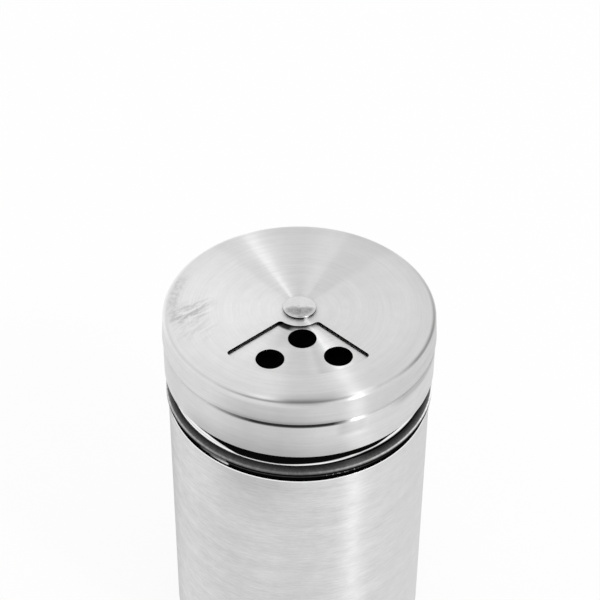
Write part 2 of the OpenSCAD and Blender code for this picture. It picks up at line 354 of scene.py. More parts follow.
# A painted mottled shade on the rim at the left, and scuffs at the dial's left. A scuff is: its middle,
# the strokes' angle from +X, its half length, its half width, and the share of brightness lost.
MOTTLED_SHADE_R, MOTTLED_SHADE_TURN, MOTTLED_SHADE_LOSS = (29.2, 30.6, 1.3, 0.6), (-107.0, -87.0, 9.0, 8.0), 0.2
MOTTLED_SHADE_SCALE, MOTTLED_SHADE_CLOUD = 0.9, (0.4, 0.6, 0.4, 1.0)
SCUFFS = (
    ((-25.6, -1.6), 43.0, 8.0, 4.2, 0.32),
    ((-24.0, -7.0), 55.0, 7.0, 6.0, 0.12),
)
SCUFF_END_R = (30.0, 30.8)
SCUFF_CORE = 0.35
STROKE_ALONG, STROKE_ACROSS, STROKE_EDGE = 0.17, 0.75, (0.44, 0.56)
STROKE_DETAIL, STROKE_GRAIN = 4.0, 0.7

# Painted shade and light on the cap: a black line and a gleam on the step, a streak on the plate,
# darker bands on the skirt, and a darker lower skirt in front.
STEP_PLACE = (STEP_Z + 0.15, DIAL_LOW_Z + 0.5, 0.3)
STEP_LOSS = 0.93
PLATE_PLACE = (PLATE_Z - 0.2, PLATE_Z + 1.0, 0.2)
CAP_SHADES = (
    (STEP_PLACE, (29.0, 35.0, 4.0), 0.03),
    ((89.5, 92.0, 1.0), (18.0, 26.0, 3.0), -0.16),
    (PLATE_PLACE, (14.0, 21.0, 4.0), -0.14),
    (PLATE_PLACE, (27.0, 33.0, 4.0), 0.13),
    ((91.8, 93.5, 1.5, 1.0), (48.0, 80.0, 8.0, 4.0), -0.24),
)
CAP_RAMPS = (
    ((SKIRT_Z, SKIRT_Z + 7.0, 0.26, 0.0), (-45.0, 24.0, 12.0, 6.0)),
)
# A painted light on the plate at the front left, and a painted shadow on the plate under the window's inner
# arc.
PLATE_LIGHT_TURN, PLATE_LIGHT = (-46.0, -9.0, 6.0, 14.0), (10.5, 14.0, 0.02, 0.14)
ARC_R, ARC_TURN, ARC_LOSS = (5.0, 6.8, 0.5, 0.55), (-52.0, -22.0, 8.0, 14.0), 0.93

# Painted shade and light on the body: darker near its top in front, and lighter on its left.
BODY_RAMPS = (
    ((56.0, 73.0, 0.0, 0.18), (-25.0, -12.0, 16.0)),
)
BODY_SHADES = (
    (None, (-66.0, -54.0, 12.0, 24.0), 0.13),
)

# Painted shade on the dial's underside in front.
UNDER_KEPT = 0.22

# The hem: a painted highlight line on black steel that stands for the shade under the skirt, tilted a
# little, thin in front and wide at the sides, with a painted dark crease.
# HEM_TILT, HEM_TILT_ENDS and HEM_HIGH_Z are two azimuths and the values there.
HEM_TINT, HEM_BLACK = 0.45, 0.003
HEM_LIGHT, HEM_ROUGHNESS = (0.88, 0.98), (0.25, 0.35)
HEM_TILT = (-8.0, 30.0, -0.2, 0.42)
HEM_TILT_ENDS = (95.0, 140.0, 1.0, 0.0)
HEM_TILT_ABOVE = (-26.0, 24.0, 8.0, 12.0)
HEM_LOW_Z, HEM_LOW_SOFT = LEDGE_Z + 0.24, 0.04
HEM_HIGH_Z, HEM_HIGH_SOFT = (28.0, 44.0, LEDGE_Z + 0.6, LEDGE_Z + 1.2), 0.06
HEM_CREASE, HEM_CREASE_LOSS = (LEDGE_Z + 0.68, LEDGE_Z + 0.74, 0.05), 0.45

# The rivet: a ragged patch in front, a painted dark reflection, and painted shadow below its edge but
# for one painted bright spot.
RIVET_CLOUD = (0.8, 4.0, 0.65)
PATCH_Y, PATCH_RAGGED = (-1.3, -0.3, 1.0, 0.0), 2.6
PATCH_R, PATCH_SCALE, PATCH_LOSS = (3.0, 3.8, 1.0, 0.3), 1.6, (0.35, 0.65, 0.42, 0.62)
RIVET_UNDER_Z = (DIAL_Z + 0.6, DIAL_Z + 0.7, 1.0, 0.0)
RIVET_SPOT, RIVET_UNDER_LOSS = (17.0, 35.0, 2.0), 0.97
RIVET_MOTTLE, RIVET_ROUGHNESS = 0.05, (0.2, 0.28)

# The collar: painted reflections on black plastic. A shoulder that greys outward, a light edge, a grey
# line at the flange's foot, and a black side that is light at the far left and right. A painted bright
# patch and a painted light gap lie at the left, and painted sparkles at the right.
SLOPE_R, SLOPE_POWER = (30.7, 31.75), 1.6
SLOPE_BLACK, SLOPE_GREY, SLOPE_SIDES = 0.008, 0.095, 0.07
EDGE_R, EDGE_GREY, EDGE_SIDES, EDGE_RIGHT = (31.78, 31.9, 0.18, 0.08), 0.055, 0.36, 0.42
TOP_Z, TOP_R, TOP_BLACK = (SHOULDER_Z - 0.35, SHOULDER_Z - 0.15), (30.5, 30.6), 0.002
OUTSIDE_R = (31.9, 31.95)
LINE_Z, LINE_GREY = (FLANGE_Z + 0.1, FLANGE_Z + 0.3, 0.06, 0.1), (25.0, 45.0, 0.035, 0.0)
SPARKLE_TURN, SPARKLE_SCALE, SPARKLE_EDGE, SPARKLE_GAIN = (12.0, 25.0, 3.0), 2.2, (0.56, 0.6), 9.0
GLINT_TURN, GLINT_Z = (-42.0, -31.4, 4.0, 0.3), (FLANGE_Z + 0.01, FLANGE_Z + 0.65, 0.02, 0.1)
GLINT_R, GLINT_GREY = (31.7, 31.8), 0.13
GAP_TURN, GAP_Z, GAP_GREY = (-34.0, -32.0, 8.0, 1.0), (BODY_H + 0.9, BODY_H + 1.1), 0.7
BESIDE_TURN, BESIDE_GREY = (82.0, 98.0, 14.7), 0.6
COLLAR_SCALE, COLLAR_MOTTLE, COLLAR_ROUGHNESS = 1.3, (0.3, 0.7, 0.75, 1.25), (0.2, 0.3)


# ---------------------------------------------------------------- materials

Place = namedtuple("Place", "where r z way azimuth")

# CLOUD and BRUSH are the ends between which their noises are spread.
CLOUD = (0.25, 0.75)
CLOUD_SCALE, CLOUD_DETAIL, CLOUD_GRAIN = 0.9, 3.0, 0.6
PLAIN_ROUGH_SPREAD = 0.15

# Fine lines, broad bands and a cloud make up the brushing, each with its share.
BRUSH = (0.3, 0.7)
BRUSH_ROUGH, BRUSH_ROUGH_SPREAD = 0.375, 0.08
BRUSH_RELIEF_M = 0.00004
BRUSH_TURN = 0.25
FINE_DETAIL, FINE_GRAIN = 4.0, 0.75
BROAD_SHORT, BROAD_LINES = 0.8, 0.4
BRUSH_CLOUD_SCALE = 0.3
FINE_SHARE, BROAD_SHARE, CLOUD_SHARE = 0.6, 0.2, 0.2
CALM_FROM, CALM_TO = 0.3, 0.85
# LEAN_IN_R and LEAN_OUT_R are the radii over which the painted light and shade of lean grow in.
LEAN_IN_R, LEAN_OUT_R = 3.0, 14.0


class Tree:
    """A material's nodes, with short ways to add them."""

    def __init__(self, name):
        self.material = bpy.data.materials.new(name)
        self.material.use_nodes = True
        self.tree = self.material.node_tree
        self.shader = self.tree.nodes["Principled BSDF"]

    def plug(self, value, socket):
        if isinstance(value, bpy.types.NodeSocket):
            self.tree.links.new(value, socket)
        else:
            socket.default_value = value

    def surface(self, **inputs):
        """Sets the shader's sockets, whose names have _ for each blank."""
        for key, value in inputs.items():
            self.plug(value, self.shader.inputs[key.replace("_", " ")])

    def add(self, kind, inputs=(), **settings):
        node = self.tree.nodes.new(kind)
        for key, value in settings.items():
            setattr(node, key, value)
        for key, value in dict(inputs).items():
            self.plug(value, node.inputs[key])
        return node

    def math(self, operation, *values):
        return self.add("ShaderNodeMath", dict(enumerate(values)), operation=operation).outputs[0]

    def product(self, first, *others):
        for other in others:
            first = self.math("MULTIPLY", first, other)
        return first

    def less(self, *amounts):
        """1 less the product of the amounts."""
        return self.math("SUBTRACT", 1.0, self.product(*amounts))

    def vector(self, operation, a, b=(0, 0, 0), scale=1.0):
        node = self.add("ShaderNodeVectorMath", operation=operation)
        self.plug(a, node.inputs[0])
        if operation == "SCALE":
            self.plug(scale, node.inputs["Scale"])
        elif operation not in ("LENGTH", "NORMALIZE"):
            self.plug(b, node.inputs[1])
        return node

    def xyz(self, x, y, z):
        return self.add("ShaderNodeCombineXYZ", {0: x, 1: y, 2: z}).outputs[0]

    def split(self, v):
        return self.add("ShaderNodeSeparateXYZ", {0: v}).outputs

    def noise(self, vector, scale=1.0, detail=2.0, roughness=0.5):
        return self.add("ShaderNodeTexNoise", {"Vector": vector, "Scale": scale, "Detail": detail,
                                               "Roughness": roughness}).outputs["Fac"]

    def cloud(self, vector, scale=CLOUD_SCALE):
        return self.noise(vector, scale, CLOUD_DETAIL, CLOUD_GRAIN)

    def span(self, value, low, high, to_low, to_high):
        """The value, mapped from low and high to two others and held between them."""
        return self.add("ShaderNodeMapRange", {0: value, 1: low, 2: high, 3: to_low, 4: to_high}).outputs[0]

    def rise(self, value, low, high):
        return self.span(value, low, high, 0.0, 1.0)

    def fall(self, value, low, high):
        return self.span(value, low, high, 1.0, 0.0)

    def around(self, value, ends, middle, share):
        """The value, mapped from its ends to a share below and above the middle."""
        return self.span(value, *ends, middle * (1 - share), middle * (1 + share))

    def zone(self, value, low, high, soft_low, soft_high=None):
        """1 from low to high, fading to 0 over the soft widths outside them."""
        soft_high = soft_low if soft_high is None else soft_high
        return self.product(self.rise(value, low - soft_low, low), self.fall(value, high, high + soft_high))

    def shaded(self, kept, along, azimuth, shades):
        """The brightness kept, after the shades."""
        for spread, turn, change in shades:
            patch = self.zone(azimuth, *turn)
            if spread:
                patch = self.product(self.zone(along, *spread), patch)
            if change < 0:
                kept = self.product(kept, self.less(patch, -change))
            else:
                kept = self.math("MULTIPLY_ADD", patch, change, kept)
        return kept

    def ramped(self, kept, z, azimuth, ramps):
        """The brightness kept, after the ramps."""
        for ramp, turn in ramps:
            kept = self.product(kept, self.less(self.span(z, *ramp), self.zone(azimuth, *turn)))
        return kept

    def grey(self, value):
        return self.add("ShaderNodeCombineColor", {0: value, 1: value, 2: value}).outputs[0]

    def place(self):
        """Object coordinates in millimetres, distance from the axis, height, direction and azimuth."""
        where = self.add("ShaderNodeTexCoord").outputs["Object"]
        where = self.vector("SCALE", where, scale=1 / MM).outputs[0]
        x, y, z = self.split(where)
        flat = self.xyz(x, y, 0.0)
        r = self.vector("LENGTH", flat).outputs["Value"]
        way = self.split(self.vector("NORMALIZE", flat).outputs[0])
        azimuth = self.math("DEGREES", self.math("ARCTAN2", x, self.math("MULTIPLY", y, -1.0)))
        return Place(where, r, z, way, azimuth)


def brushed_steel(name, tone, depth, tint, shade_and_wear, short=1.6, lines=1.7, relief=0.12, lean=0.0, swell=0.0,
                  calm=0.0):
    """Steel brushed round its axis.

    depth is how much the lines show, short how short they are, lines how close together they are, and
    relief how much they catch the light. calm is how much less they show at the right.
    lean is a painted light and shade: how much lighter the sheet is at its left than in front, and darker
    at its right. swell is a painted light: how much lighter it is at both. tint is how bright it stays where
    it is seen edge on. shade_and_wear returns what each point keeps of its brightness: painted shade and
    light, and on the dial its scuffs.
    """
    t = Tree(name)
    p = t.place()
    x, y, _ = p.way
    along = t.math("ADD", p.r, p.z)
    fine = t.noise(t.xyz(t.product(x, short), t.product(y, short), t.product(along, lines)),
                   detail=FINE_DETAIL, roughness=FINE_GRAIN)
    broad = t.noise(t.xyz(t.product(x, BROAD_SHORT), t.product(y, BROAD_SHORT),
                          t.product(along, BROAD_LINES)))
    cloud = t.cloud(p.where, BRUSH_CLOUD_SCALE)
    mixed = t.math("ADD", t.product(fine, FINE_SHARE), t.product(broad, BROAD_SHARE))
    mixed = t.math("ADD", mixed, t.product(cloud, CLOUD_SHARE))
    if calm:
        shown = t.span(x, CALM_FROM, CALM_TO, 1.0, 1.0 - calm)
        mixed = t.math("MULTIPLY_ADD", t.math("SUBTRACT", mixed, 0.5), shown, 0.5)
    level = t.around(mixed, BRUSH, tone, depth)
    side = t.product(x, t.span(p.r, LEAN_IN_R, LEAN_OUT_R, 0.5 * lean, lean))
    level = t.product(level, t.math("ADD", t.less(side), t.product(x, x, swell)))
    level = t.product(level, shade_and_wear(t, p))
    bump = t.add("ShaderNodeBump", {"Strength": relief, "Distance": BRUSH_RELIEF_M, "Height": fine})
    tangent = t.add("ShaderNodeTangent", direction_type="RADIAL", axis="Z")
    t.surface(Base_Color=t.grey(level), Roughness=t.around(fine, BRUSH, BRUSH_ROUGH, BRUSH_ROUGH_SPREAD),
              Metallic=1.0, Specular_Tint=(tint, tint, tint, 1), Anisotropic=1.0,
              Anisotropic_Rotation=BRUSH_TURN, Tangent=tangent.outputs[0], Normal=bump.outputs[0])
    return t.material


def scuffs(t, where, middle, angle, length, width):
    """0 to 1: short strokes side by side in an oval patch, with the strokes at the angle from +X."""
    c, s = math.cos(math.radians(angle)), math.sin(math.radians(angle))
    along = t.math("SUBTRACT", t.vector("DOT_PRODUCT", where, (c, s, 0)).outputs["Value"],
                   middle[0] * c + middle[1] * s)
    across = t.math("SUBTRACT", t.vector("DOT_PRODUCT", where, (-s, c, 0)).outputs["Value"],
                    middle[1] * c - middle[0] * s)
    strokes = t.noise(t.xyz(t.product(along, STROKE_ALONG), t.product(across, STROKE_ACROSS), 0.0),
                      detail=STROKE_DETAIL, roughness=STROKE_GRAIN)
    away = t.vector("LENGTH", t.xyz(t.math("DIVIDE", along, length), t.math("DIVIDE", across, width), 0.0))
    return t.product(t.fall(away.outputs["Value"], SCUFF_CORE, 1.0), t.rise(strokes, *STROKE_EDGE))


def dial_rim(t, p):
    """The painted shade, gleams and light on the dial's rounded rim: what it keeps of its brightness."""
    kept = t.shaded(1.0, p.r, p.azimuth, RIM_SHADES)
    behind = t.math("ADD", t.fall(p.azimuth, *RIM_BACK_LEFT), t.rise(p.azimuth, *RIM_BACK_RIGHT))
    kept = t.math("ADD", kept, t.product(t.span(p.r, *RIM_BACK_R, 0.0, RIM_BACK_GAIN), behind))
    return t.math("MULTIPLY_ADD", t.math("SUBTRACT", kept, 1.0), t.rise(p.z, *RIM_Z), 1.0)


def dial_shade_and_scuffs(t, p):
    """Painted shade and light on the dial: its rim, its darker side in front, the dark line below it,
    darker bands behind and a mottled shade at the left; and the scuffs at the left.
    """
    kept = t.product(dial_rim(t, p), t.span(p.r, *DIAL_OUTER_R, 1.0, DIAL_OUTER_KEPT))
    side = t.fall(p.z, *DIAL_SIDE_Z)
    kept = t.product(kept, t.less(t.zone(p.azimuth, *FRONT_SHADE), side, FRONT_LOSS))
    kept = t.ramped(kept, p.z, p.azimuth, DIAL_RAMPS)
    kept = t.shaded(kept, p.r, p.azimuth, DIAL_SHADES)
    mottled_shade = t.product(t.zone(p.r, *MOTTLED_SHADE_R), t.zone(p.azimuth, *MOTTLED_SHADE_TURN))
    kept = t.product(kept, t.less(mottled_shade, t.span(t.noise(p.where, MOTTLED_SHADE_SCALE), *MOTTLED_SHADE_CLOUD), MOTTLED_SHADE_LOSS))
    on_top = t.fall(p.r, *SCUFF_END_R)
    for *scuff, loss in SCUFFS:
        kept = t.product(kept, t.less(scuffs(t, p.where, *scuff), on_top, loss))
    return kept


def cap_painted_shade(t, p):
    """Painted shade and light on the cap: the black line under the dial, its darker front and skirt, and the
    plate's light and shade.
    """
    line = t.product(t.zone(p.z, *STEP_PLACE), t.zone(p.azimuth, *FRONT_LINE))
    kept = t.product(t.less(line, STEP_LOSS), t.less(t.zone(p.azimuth, *FRONT_SHADE), FRONT_LOSS))
    kept = t.shaded(kept, p.z, p.azimuth, CAP_SHADES)
    plate = t.zone(p.z, *PLATE_PLACE)
    light = t.product(t.zone(p.azimuth, *PLATE_LIGHT_TURN), t.span(p.r, *PLATE_LIGHT))
    kept = t.math("MULTIPLY_ADD", plate, light, kept)
    kept = t.product(kept, t.less(t.zone(p.r, *ARC_R), t.zone(p.azimuth, *ARC_TURN), plate, ARC_LOSS))
    return t.ramped(kept, p.z, p.azimuth, CAP_RAMPS)


def body_painted_shade(t, p):
    """Painted shade on the body's top in front, and painted light on its left."""
    return t.shaded(t.ramped(1.0, p.z, p.azimuth, BODY_RAMPS), p.z, p.azimuth, BODY_SHADES)


def under_painted_shade(t, p):
    """Painted shade: the dial's underside is dark in front."""
    return t.span(t.zone(p.azimuth, *FRONT_LINE), 0.0, 1.0, 1.0, UNDER_KEPT)


def plain(name, tone, rough, metal=0.0, mottle=0.1, specular=0.5, shade_and_wear=None):
    """A finish with a faint mottle in its colour and gloss."""
    t = Tree(name)
    p = t.place()
    cloud = t.cloud(p.where)
    level = t.around(cloud, CLOUD, tone, mottle)
    if shade_and_wear:
        level = t.product(level, shade_and_wear(t, p))
    t.surface(Base_Color=t.grey(level), Roughness=t.around(cloud, CLOUD, rough, PLAIN_ROUGH_SPREAD),
              Metallic=metal, Specular_IOR_Level=specular)
    return t.material


def hem(name):
    """Rolled hem with a painted highlight line, under a band painted black for the shade under the skirt."""
    t = Tree(name)
    p = t.place()
    turn = t.math("ABSOLUTE", p.azimuth)
    tilt = t.product(t.span(p.azimuth, *HEM_TILT), t.span(turn, *HEM_TILT_ENDS))
    low = t.math("SUBTRACT", p.z, t.math("ADD", tilt, HEM_LOW_Z))
    top = t.math("MULTIPLY_ADD", tilt, t.zone(p.azimuth, *HEM_TILT_ABOVE), t.span(turn, *HEM_HIGH_Z))
    high = t.math("SUBTRACT", p.z, top)
    bright = t.product(t.rise(low, -HEM_LOW_SOFT, HEM_LOW_SOFT), t.fall(high, -HEM_HIGH_SOFT, HEM_HIGH_SOFT),
                       t.less(t.zone(p.z, *HEM_CREASE), HEM_CREASE_LOSS))
    cloud = t.cloud(p.where)
    level = t.math("MULTIPLY_ADD", bright, t.span(cloud, *CLOUD, *HEM_LIGHT), HEM_BLACK)
    t.surface(Base_Color=t.grey(level), Roughness=t.span(cloud, *CLOUD, *HEM_ROUGHNESS), Metallic=1.0,
              Specular_Tint=(HEM_TINT, HEM_TINT, HEM_TINT, 1))
    return t.material


def rivet_head(name, tone):
    """Polished rivet with a painted dark patch in front and painted shadow under its edge."""
    t = Tree(name)
    p = t.place()
    _, y, _ = t.split(p.where)
    cloud = t.noise(p.where, *RIVET_CLOUD)
    ragged = t.math("MULTIPLY_ADD", t.math("SUBTRACT", cloud, 0.5), PATCH_RAGGED, y)
    patch = t.product(t.span(ragged, *PATCH_Y), t.span(p.r, *PATCH_R))
    kept = t.less(patch, t.span(t.noise(p.where, PATCH_SCALE), *PATCH_LOSS))
    under = t.product(t.span(p.z, *RIVET_UNDER_Z), t.less(t.zone(p.azimuth, *RIVET_SPOT)))
    kept = t.product(kept, t.less(under, RIVET_UNDER_LOSS))
    level = t.product(t.around(cloud, CLOUD, tone, RIVET_MOTTLE), kept)
    t.surface(Base_Color=t.grey(level), Roughness=t.span(cloud, *CLOUD, *RIVET_ROUGHNESS), Metallic=1.0)
    return t.material


def collar(name, specular):
    """Black plastic with painted reflections: a grey shoulder, a light edge, a grey line, a bright patch, a
    light gap, sparkles and light at the far sides.
    """
    t = Tree(name)
    p = t.place()
    x = p.way[0]
    side = t.product(x, x)
    slope = t.math("POWER", t.rise(p.r, *SLOPE_R), SLOPE_POWER)
    grey = t.math("MULTIPLY_ADD", slope, t.math("MULTIPLY_ADD", side, SLOPE_SIDES, SLOPE_GREY), SLOPE_BLACK)
    right = t.math("MULTIPLY_ADD", t.math("MAXIMUM", x, 0.0), EDGE_RIGHT, EDGE_GREY)
    grey = t.math("MULTIPLY_ADD", t.zone(p.r, *EDGE_R), t.math("MULTIPLY_ADD", side, EDGE_SIDES, right), grey)
    grey = t.math("MULTIPLY_ADD", grey, t.product(t.rise(p.z, *TOP_Z), t.rise(p.r, *TOP_R)), TOP_BLACK)

    outside = t.rise(p.r, *OUTSIDE_R)
    turn = t.math("ABSOLUTE", p.azimuth)
    line = t.product(t.zone(p.z, *LINE_Z), outside, t.span(turn, *LINE_GREY))
    sparkles = t.product(t.zone(p.azimuth, *SPARKLE_TURN), t.rise(t.noise(p.where, SPARKLE_SCALE), *SPARKLE_EDGE))
    line = t.product(line, t.math("MULTIPLY_ADD", sparkles, SPARKLE_GAIN, 1.0))
    glint = t.product(t.zone(p.azimuth, *GLINT_TURN), t.zone(p.z, *GLINT_Z), t.rise(p.r, *GLINT_R),
                      GLINT_GREY)
    gap = t.product(t.zone(p.azimuth, *GAP_TURN), t.fall(p.z, *GAP_Z), GAP_GREY)
    beside = t.product(outside, t.zone(turn, *BESIDE_TURN), BESIDE_GREY)
    for painted_light in (line, glint, gap, beside):
        grey = t.math("ADD", grey, painted_light)

    cloud = t.cloud(p.where, COLLAR_SCALE)
    t.surface(Base_Color=t.grey(t.product(grey, t.span(cloud, *COLLAR_MOTTLE))),
              Roughness=t.span(cloud, *CLOUD, *COLLAR_ROUGHNESS), Specular_IOR_Level=specular)
    return t.material


dial_steel = brushed_steel("dial_steel", tone=0.79, depth=0.1, tint=0.65, shade_and_wear=dial_shade_and_scuffs, lean=0.08,
                           swell=0.065)
cap_steel = brushed_steel("cap_steel", tone=0.79, depth=0.1, tint=0.65, shade_and_wear=cap_painted_shade, short=3.0)
body_steel = brushed_steel("body_steel", tone=0.78, depth=0.17, tint=0.45, shade_and_wear=body_painted_shade, short=9.0,
                           lines=2.4, relief=0.24, lean=-0.07, calm=0.5)
hem_steel = hem("hem_steel")
inner_steel = plain("inner_steel", tone=0.5, rough=0.4, metal=1.0)
under_steel = plain("under_steel", tone=0.5, rough=0.5, metal=1.0, shade_and_wear=under_painted_shade)
rivet_steel = rivet_head("rivet_steel", tone=0.7)
# A brighter steel on the body's rim rounding: a painted highlight.
rim_highlight_steel = plain("rim_highlight_steel", tone=0.93, rough=0.3, metal=1.0, mottle=0.03)
# Black without gloss on the cut walls of the holes and the window: painted shade.
cut_shade_steel = plain("cut_shade_steel", tone=0.003, rough=0.5, specular=0.0)
shade_steel = plain("shade_steel", tone=0.002, rough=0.4, specular=0.0)
collar_plastic = collar("collar_plastic", specular=0.12)
flange_black = collar("flange_black", specular=0.0)
seal_rubber = plain("seal_rubber", tone=0.02, rough=0.6)
washer_steel = plain("washer_steel", tone=0.2, rough=0.45, metal=1.0)


# ---------------------------------------------------------------- canister

def body_slot(r, z):
    """Material number on the body: 0 outside, 1 inside and under the base, 2 on the rim's top, painted
    black for shade, and 3 on its rounding, a painted highlight.
    """
    if z > BODY_H - RIM_DARK_H:
        return 2
    if r < BODY_R - BODY_CORE and z > BASE_IN_Z:
        return 1
    return 3 if z > BODY_H - RIM_ROUND else 0


def build_body():
    in_r = BODY_R - BODY_WALL
    base_r = FOOT_R - BASE_RECESS
    skin = Skin()
    skin.lathe(outline(
        [(0, BASE_RECESS), (base_r, BASE_RECESS), (FOOT_R, 0), (BODY_R, 0), (BODY_R, BODY_H), (in_r, BODY_H),
         (in_r, BODY_WALL), (FOOT_R + FOOT_IN_SHIFT, BODY_WALL),
         (base_r + FOOT_IN_SHIFT, BODY_WALL + BASE_RECESS), (0, BODY_WALL + BASE_RECESS)],
        [BASE_ROUND, FOOT_ROUND, BODY_CORNER_R, RIM_ROUND, RIM_IN_ROUND, BODY_CORNER_R - BODY_WALL,
         FOOT_IN_ROUND, BASE_IN_ROUND]), body_slot)
    make_mesh("canister_body", skin, [body_steel, inner_steel, shade_steel, rim_highlight_steel],
              "canister", "body_shell")


def collar_slot(r, z):
    """Material number on the collar: 1 on the flange's side and below it, and 0 elsewhere."""
    return 1 if z < SHOULDER_Z - BLACK_BELOW and r > BODY_R - BODY_WALL else 0


def build_collar():
    skin = Skin()
    skin.lathe(outline(
        [(SLEEVE_IN_R + SLEEVE_EDGE, SLEEVE_Z), (SLEEVE_R, SLEEVE_Z), (SLEEVE_R, SEAT_Z), (GROOVE_R, SEAT_Z),
         (GROOVE_R, FLANGE_Z), (FLANGE_R, FLANGE_Z), (FLANGE_R, SHOULDER_Z), (SHOULDER_R, LEDGE_Z),
         (NECK_R, LEDGE_Z), (NECK_R, SEAL_LOW_Z), (SEAL_GROOVE_R, SEAL_LOW_Z), (SEAL_GROOVE_R, SEAL_HIGH_Z),
         (NECK_R, SEAL_HIGH_Z), (NECK_R, NECK_TOP_Z), (NECK_IN_R, NECK_TOP_Z), (NECK_IN_R, BODY_H),
         (SLEEVE_IN_R, BODY_H - (SLEEVE_IN_R - NECK_IN_R)), (SLEEVE_IN_R, SLEEVE_Z),
         (SLEEVE_IN_R + SLEEVE_EDGE, SLEEVE_Z)],
        [SLEEVE_ROUND, SEAT_IN_ROUND, SEAT_ROUND, GROOVE_ROUND, FLANGE_ROUND, FLANGE_EDGE_R, SHOULDER_ROUND]
        + [NECK_ROUND] * 5 + [NECK_TOP_ROUND] * 2 + [THROAT_ROUND] * 2 + [SLEEVE_IN_ROUND]), collar_slot)
    make_mesh("canister_collar", skin, [collar_plastic, flange_black],
              "canister", "neck_collar")


build_body()
build_collar()


# ---------------------------------------------------------------- lid

def ring_angles(row):
    """Turns of the fine holes in a row."""
    step = 2 * math.degrees(math.asin(FINE_PITCH / 2 / (FINE_ROW_R + row * FINE_PITCH)))
    return [(i - (row + 1) / 2) * step for i in range(row + 2)]


def cap_holes():
    """Loops of the coarse holes, the fine holes and the pouring opening."""
    holes = [round_hole(COARSE_D, COARSE_NEAR_R, HOLES_TURN)]
    holes += [round_hole(COARSE_D, COARSE_FAR_R, HOLES_TURN + side * COARSE_FAR_TURN) for side in (-1, 1)]
    holes += [round_hole(FINE_D, FINE_ROW_R + row * FINE_PITCH, HOLES_TURN + 90 + turn, FINE_HOLE_STEPS)
              for row in range(FINE_ROWS) for turn in ring_angles(row)]
    holes.append(sector_hole(POUR_IN_R, POUR_OUT_R, POUR_ANGLE, HOLES_TURN + 180, POUR_CORNER))
    return holes


def cap_slot(r, z):
    """Material number on the cap: 0 outside, 1 inside and 2 on the band and the hem, painted black with a
    highlight line.
    """
    if LEDGE_Z - NEAR < z < BAND_BLACK_Z and r > BAND_R - CAP_SKIN:
        return 2 if r < BAND_BLACK_R else 0
    in_band = z < SKIRT_Z + CAP_WALL and r < BAND_R
    in_skirt = z < STEP_Z - CAP_SKIN and r < SKIRT_R - CAP_CORE
    in_crown = STEP_Z - CAP_DEEP < z < PLATE_Z - CAP_CORE and r < CROWN_R - CAP_CORE
    under_plate = z < PLATE_LOW_Z + NEAR and r < CROWN_R - CAP_CORE
    return 1 if in_band or in_skirt or in_crown or under_plate else 0


def build_cap(pin_hole):
    crown_in_r, skirt_in_r, band_in_r = CROWN_R - CAP_WALL, SKIRT_R - CAP_WALL, BAND_R - CAP_WALL
    outer_bend = BEND_R + CAP_WALL
    holes = cap_holes() + [pin_hole]
    skin = Skin()
    skin.lathe(outline(
        [(PLATE_EDGE_R, PLATE_LOW_Z), (crown_in_r, PLATE_LOW_Z), (crown_in_r, STEP_Z - CAP_WALL),
         (skirt_in_r, STEP_Z - CAP_WALL), (skirt_in_r, SKIRT_Z + CAP_WALL), (band_in_r, SKIRT_Z + CAP_WALL),
         (band_in_r, LEDGE_Z), (HEM_R, LEDGE_Z), (HEM_R, LEDGE_Z + HEM_EDGE_H), (BAND_R, LEDGE_Z + HEM_H),
         (BAND_R, SKIRT_Z), (SKIRT_R, SKIRT_Z), (SKIRT_R, STEP_Z), (CROWN_R, STEP_Z + STEP_SLOPE),
         (CROWN_R, PLATE_Z), (PLATE_EDGE_R, PLATE_Z)],
        [CROWN_ROUND - CAP_WALL, outer_bend, BEND_R, BEND_R, outer_bend, HEM_ROUND, HEM_ROUND, HEM_ROUND,
         HEM_TOP_ROUND, BEND_R, outer_bend, STEP_ROUND, BEND_R, CROWN_ROUND]), cap_slot)
    skin.plate(PLATE_Z, True, PLATE_EDGE_R, grown(holes))
    skin.plate(PLATE_LOW_Z, False, PLATE_EDGE_R, grown(holes), 1)
    for hole in holes:
        skin.hole_wall(hole, PLATE_Z, PLATE_LOW_Z, 3)
    make_mesh("lid_cap", skin, [cap_steel, inner_steel, hem_steel, cut_shade_steel],
              "lid", "cap_shell")


def build_dial(pin_hole):
    holes = [sector_hole(WINDOW_IN_R, WINDOW_OUT_R, WINDOW_ANGLE, DIAL_TURN, WINDOW_CORNER), pin_hole]
    slope = np.array([DIAL_R - DIAL_LOW_R, DIAL_Z - DIAL_LOW_Z])
    slope /= np.linalg.norm(slope)
    inner_low = np.array([DIAL_LOW_R, DIAL_LOW_Z]) + DIAL_WALL * np.array([-slope[1], slope[0]])
    inner_top = inner_low + slope * (DIAL_IN_Z - inner_low[1]) / slope[1]
    lean = -slope[0] / slope[1]
    side_r = DIAL_R + lean * DIAL_ROUND
    inner = outline([(DIAL_FLAT_R, DIAL_IN_Z), inner_top, inner_low], [DIAL_ROUND - DIAL_WALL])
    outer = outline([inner_low, (DIAL_LOW_R, DIAL_LOW_Z), (side_r, DIAL_Z - DIAL_ROUND)], [DIAL_LOW_ROUND])
    outer += rounded_edge(side_r, DIAL_Z, lean, DIAL_EDGE, DIAL_ROUND)
    outer.append((np.array([DIAL_FLAT_R, DIAL_Z]), np.array([0.0, 1.0])))
    skin = Skin()
    skin.lathe(inner, lambda r, z: 1)
    skin.lathe(outer)
    skin.plate(DIAL_Z, True, DIAL_FLAT_R, grown(holes))
    skin.plate(DIAL_IN_Z, False, DIAL_FLAT_R, grown(holes), 1)
    for hole in holes:
        skin.hole_wall(hole, DIAL_Z, DIAL_IN_Z, 2)
    make_mesh("lid_dial", skin, [dial_steel, under_steel, cut_shade_steel], "dial", "dial_cover")


